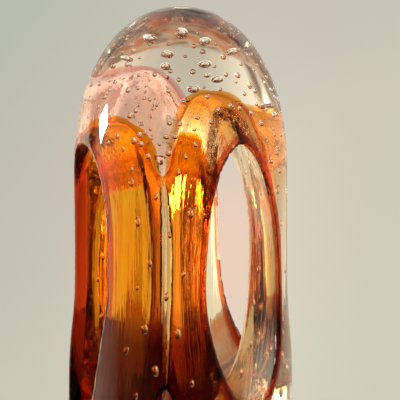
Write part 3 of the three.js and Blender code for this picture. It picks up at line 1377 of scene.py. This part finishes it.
class Studio:
    """Pale table, bright surroundings, one soft lamp and the camera."""

    ROOM_STRENGTH = 2.6
    ROOM_TONES = {
        "Z": (
            (-1.0, "#3a2418"),
            (-0.7, "#5e4434"),
            (-0.52, "#8c7466"),
            (-0.44, "#c8bca8"),
            (-0.1, "#d0cbb8"),
            (0.0, "#cdc8b9"),
            (0.12, "#c2c2b4"),
            (0.25, "#c6c0b0"),
            (0.45, "#f0e8dc"),
            (1.0, "#faf2e6"),
        ),
        "X": (
            (-1.0, "#ffffff"),
            (-0.6, "#f4f0ea"),
            (-0.15, "#bcbcb8"),
            (0.15, "#c2c0be"),
            (0.6, "#f0e6dc"),
            (1.0, "#e6dcd2"),
        ),
        "Y": (
            (-1.0, "#2a2420"),
            (-0.5, "#6e6258"),
            (-0.15, "#d0c8c0"),
            (0.1, "#f4efea"),
            (0.7, "#ddddda"),
            (1.0, "#dcdcdc"),
        ),
    }
    ROOM_PATCHES = ((0.36, "#6c5a50"), (0.48, "#ffffff"))
    PATCH_SQUEEZE = (2.6, 2.6, 0.7)
    PATCHED_TO, EVEN_FROM = 0.7, 0.88
    CARDS = (
        Card((-0.79, 0.31, 0.53), 0.955, 0.985, "#a0908a"),
        Card((-0.745, 0.667, 0.0), 0.945, 0.975, "#fff4e8", 2.4, squeeze=(1, 1, 0.3)),
        Card((-0.16, -0.08, 0.65), 0.93, 0.98, "#ffffff", 1.8),
    )
    # Painted light on the wall that the camera sees: a warm glow round the direction straight behind the
    # glass.
    GLOW_CENTRE = (0.03, 1, -0.03)
    GLOW_SQUEEZE = (1, 0.1, 0.45)
    PAINTED_WALL_GLOW = ((0.01, "#efd4c3"), (0.03, "#dcd7c9"), (0.08, "#d3cfc0"), (0.2, "#cacabc"))
    # Painted light falling off across the wall, lightest toward the lower right.
    FALL_ALONG = (-0.8, 0, 1)
    PAINTED_WALL_FALLOFF = (
        (-0.19, "#fdfef9"),
        (-0.03, "#fbf9f5"),
        (0.03, "#f3f2f3"),
        (0.08, "#f2eff1"),
        (0.19, "#e4ecec"),
    )
    TABLE_RADIUS = 500.0
    TABLE_DROP = 0.3
    TABLE_THICKNESS = 18.0
    TABLE_EDGE = 3.0
    TABLE_SIDES = 128
    TABLE_ROUGHNESS = 0.7
    PAINTED_PATCHES_PER_METRE = 9.0
    # Painted shade: the table that the camera sees darkens toward the foot, as a painted contact shadow.
    PALE_TABLE_PAINTED_SHADE = ((0.05, "#8a7c70"), (0.13, "#c6bfb4"), (0.3, "#e3e0d8"))
    # What the glass sees of the table: a warmer tone, with painted shade that turns it dark brown toward
    # the foot.
    WARM_TABLE_PAINTED_SHADE = ((0.06, "#4a3024"), (0.18, "#8a6650"), (0.35, "#b49276"), (0.9, "#cdbaa2"))
    # Painted orange glow and grey shade in soft patches, multiplied into what the glass sees of the
    # table.
    TABLE_PAINTED_GLOW_PATCHES = ((0.38, "#b0a8a4"), (0.47, "#ffffff"), (0.52, "#fff0e0"), (0.6, "#ffb06a"))
    BOUNCES = 24

    def __init__(self, camera: CameraSizes, lamp: LampSizes) -> None:
        """Takes the places of the camera and the lamp."""
        self.camera = camera
        self.lamp = lamp

    def build(self) -> None:
        """Makes everything round the object."""
        self._table()
        self._surroundings()
        self._lamp()
        self._camera()
        scene = bpy.context.scene
        scene.cycles.max_bounces = self.BOUNCES
        scene.cycles.transmission_bounces = self.BOUNCES
        scene.cycles.transparent_max_bounces = self.BOUNCES
        scene.cycles.glossy_bounces = self.BOUNCES // 2
        scene.cycles.caustics_refractive = False
        scene.view_settings.view_transform = "Standard"

    def _table(self) -> None:
        """A pale round table with painted shade at the foot; the glass sees it warm, with painted glow
        patches.
        """
        made = bmesh.new()
        drop = Matrix.Translation((0, 0, -self.TABLE_DROP - self.TABLE_THICKNESS / 2))
        bmesh.ops.create_cone(
            made,
            cap_ends=True,
            segments=self.TABLE_SIDES,
            radius1=self.TABLE_RADIUS,
            radius2=self.TABLE_RADIUS,
            depth=self.TABLE_THICKNESS,
            matrix=drop,
        )
        rims = [edge for edge in made.edges if len(edge.link_faces) == 2 and edge.calc_face_angle() > 1]
        round_off = {"offset": self.TABLE_EDGE, "segments": 3, "profile": 0.5}
        bmesh.ops.bevel(made, geom=rims, affect="EDGES", material=-1, **round_off)
        table = link_mesh("pale_table", made)
        table.data.transform(Matrix.Scale(MM, 4))
        material = bpy.data.materials.new("pale_matt_table_painted_shade")
        material.use_nodes = True
        tree = material.node_tree
        tree.nodes.clear()
        place = add_node(tree, "TexCoord").outputs["Object"]
        reach = add_node(tree, "VectorMath", {0: place}, operation="LENGTH").outputs["Value"]
        extent = self.TABLE_RADIUS * MM
        # Both tones carry painted shade near the foot: pale for camera rays, warmer and darker for what
        # the glass sees.
        seen_by_camera = add_ramp(tree, reach, self.PALE_TABLE_PAINTED_SHADE, 0.0, extent)
        warm = add_ramp(tree, reach, self.WARM_TABLE_PAINTED_SHADE, 0.0, extent)
        # Soft patches of painted orange glow and grey shade.
        grain = {"Vector": place, "Scale": self.PAINTED_PATCHES_PER_METRE, "Detail": 1.0}
        painted_patch_noise = add_node(tree, "TexNoise", grain)
        painted_glow_patches = add_ramp(tree, painted_patch_noise.outputs[0], self.TABLE_PAINTED_GLOW_PATCHES, 0.0, 1.0)
        warm = add_node(tree, "Mix", {0: 1.0, 6: warm, 7: painted_glow_patches}, **MULTIPLIED).outputs[2]
        seen = add_node(tree, "LightPath").outputs["Is Camera Ray"]
        tone = add_node(tree, "Mix", {0: seen, 6: warm, 7: seen_by_camera}, data_type="RGBA")
        matt = {"Base Color": tone.outputs[2], "Roughness": self.TABLE_ROUGHNESS}
        shader = add_node(tree, "BsdfPrincipled", matt)
        add_node(tree, "OutputMaterial", {"Surface": shader.outputs[0]})
        table.data.materials.append(material)

    def _surroundings(self) -> None:
        """A bright pale room: warm below, brightest to the left, with a painted soft glow on the wall
        behind.
        """
        world = bpy.data.worlds.new("pale_room")
        bpy.context.scene.world = world
        world.use_nodes = True
        tree = world.node_tree
        tree.nodes.clear()
        direction = add_node(tree, "TexCoord").outputs["Generated"]
        axes = add_node(tree, "SeparateXYZ", {0: direction})
        tones = [add_ramp(tree, axes.outputs[axis], stops) for axis, stops in self.ROOM_TONES.items()]
        tall = add_node(tree, "VectorMath", {0: direction, 1: self.PATCH_SQUEEZE}, operation="MULTIPLY")
        patches = add_node(tree, "TexNoise", {"Vector": tall.outputs[0], "Scale": 1.0, "Detail": 1.0})
        shade = add_ramp(tree, patches.outputs[0], self.ROOM_PATCHES, 0.0, 1.0)
        edges = {1: self.PATCHED_TO, 2: self.EVEN_FROM}
        behind = add_node(tree, "MapRange", {0: axes.outputs["Y"], **edges})
        even = {0: behind.outputs[0], 6: shade, 7: srgb("#ffffff")}
        tones.append(add_node(tree, "Mix", even, data_type="RGBA").outputs[2])
        tint = tones[0]
        for other in tones[1:]:
            tint = add_node(tree, "Mix", {0: 1.0, 6: tint, 7: other}, **MULTIPLIED).outputs[2]
        for card in self.CARDS:
            tint = self._card(tree, direction, tint, card)
        room = add_node(tree, "Background", {"Color": tint, "Strength": self.ROOM_STRENGTH})
        # What the camera sees: the wall with its painted glow and painted falloff of light.
        seen_by_camera = add_node(tree, "Background", {"Color": self._backdrop(tree, direction), "Strength": 1.0})
        seen = add_node(tree, "LightPath").outputs["Is Camera Ray"]
        both = add_node(tree, "MixShader", {0: seen, 1: room.outputs[0], 2: seen_by_camera.outputs[0]})
        add_node(tree, "OutputWorld", {"Surface": both.outputs[0]})

    @staticmethod
    def _card(
        tree: bpy.types.NodeTree,
        direction: bpy.types.NodeSocket,
        room: bpy.types.NodeSocket,
        card: Card,
    ) -> bpy.types.NodeSocket:
        """Hangs a card in the room.

        Args:
            tree: the world's nodes.
            direction: where a ray goes.
            room: the room's colour without the card.
            card: the card.

        Returns:
            The room's colour with the card.
        """
        unit = tuple(Vector(card.toward).normalized())
        low = add_node(tree, "VectorMath", {0: direction, 1: card.squeeze}, operation="MULTIPLY")
        near = add_node(tree, "VectorMath", {0: low.outputs[0], 1: unit}, operation="DOT_PRODUCT")
        edges = {"Value": near.outputs["Value"], 1: card.starts, 2: card.full}
        share = add_node(tree, "MapRange", edges, interpolation_type="SMOOTHSTEP").outputs[0]
        tone = tuple(part * card.power for part in srgb(card.tone)[:3]) + (1.0,)
        return add_node(tree, "Mix", {0: share, 6: room, 7: tone}, **MULTIPLIED).outputs[2]

    @staticmethod
    def _backdrop(tree: bpy.types.NodeTree, direction: bpy.types.NodeSocket) -> bpy.types.NodeSocket:
        """The pale wall that the camera sees, with a painted warm glow behind the glass and painted
        falloff.

        Args:
            tree: the world's nodes.
            direction: where a ray goes.

        Returns:
            The wall's colour.
        """
        spot, squeeze = Studio.GLOW_CENTRE, Studio.GLOW_SQUEEZE
        aside = add_node(tree, "VectorMath", {0: direction, 1: spot}, operation="SUBTRACT")
        level = add_node(tree, "VectorMath", {0: aside.outputs[0], 1: squeeze}, operation="MULTIPLY")
        reach = add_node(tree, "VectorMath", {0: level.outputs[0]}, operation="LENGTH").outputs["Value"]
        # Painted light: a warm glow round the direction straight behind the glass.
        glow = add_ramp(tree, reach, Studio.PAINTED_WALL_GLOW, 0.0, 1.0)
        # Painted falloff of light across the wall.
        along = {0: direction, 1: Studio.FALL_ALONG}
        slant = add_node(tree, "VectorMath", along, operation="DOT_PRODUCT")
        fall = add_ramp(tree, slant.outputs["Value"], Studio.PAINTED_WALL_FALLOFF)
        return add_node(tree, "Mix", {0: 1.0, 6: glow, 7: fall}, **MULTIPLIED).outputs[2]

    def _lamp(self) -> None:
        """The soft window whose reflection lies on the left shoulder."""
        s = self.lamp
        light = bpy.data.lights.new("soft_window", "AREA")
        light.shape = "RECTANGLE"
        light.size, light.size_y = s.width * MM, s.length * MM
        light.energy = s.watts
        light.spread = math.radians(s.spread)
        lamp = bpy.data.objects.new("soft_window", light)
        bpy.context.scene.collection.objects.link(lamp)
        place, aim = Vector(s.place) * MM, Vector(s.aim) * MM
        turn = (aim - place).to_track_quat("-Z", "Y").to_matrix().to_4x4()
        roll = Matrix.Rotation(math.radians(s.roll), 4, "Z")
        lamp.matrix_world = Matrix.Translation(place) @ turn @ roll
        lamp.visible_camera = False

    def _camera(self) -> None:
        """A level camera that is shifted to the photograph's frame."""
        s = self.camera
        data = bpy.data.cameras.new("photo_view")
        data.sensor_width = s.sensor
        data.lens = s.sensor * s.distance / s.picture_width
        data.shift_x = s.shift_x
        data.clip_start = 0.01
        camera = bpy.data.objects.new("photo_view", data)
        bpy.context.scene.collection.objects.link(camera)
        camera.location = (0, -s.distance * MM, s.height * MM)
        camera.rotation_euler = (math.pi / 2, 0, 0)
        bpy.context.scene.camera = camera


def main() -> None:
    """Builds the sculpture and its studio, and reports each piece."""
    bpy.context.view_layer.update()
    body, mesh_sizes, glasses = BodySizes(), MeshSizes(), GlassLibrary()
    shape = GlassShape(body, mesh_sizes, TUNNELS)
    crystal = CrystalBody(shape, mesh_sizes, glasses)
    pieces = [crystal.build()]
    pieces += ColourSkins(shape, mesh_sizes, glasses, crystal.piece).build()
    pieces.append(CaughtBubbles(shape, body, BubbleSizes(), glasses).build())
    crystal.finish()
    for piece in pieces:
        log.info("%s: %d faces", piece.name, len(piece.data.polygons))
    Studio(CameraSizes(), LampSizes()).build()
    log.info("done")


if __name__ == "__main__":
    main()
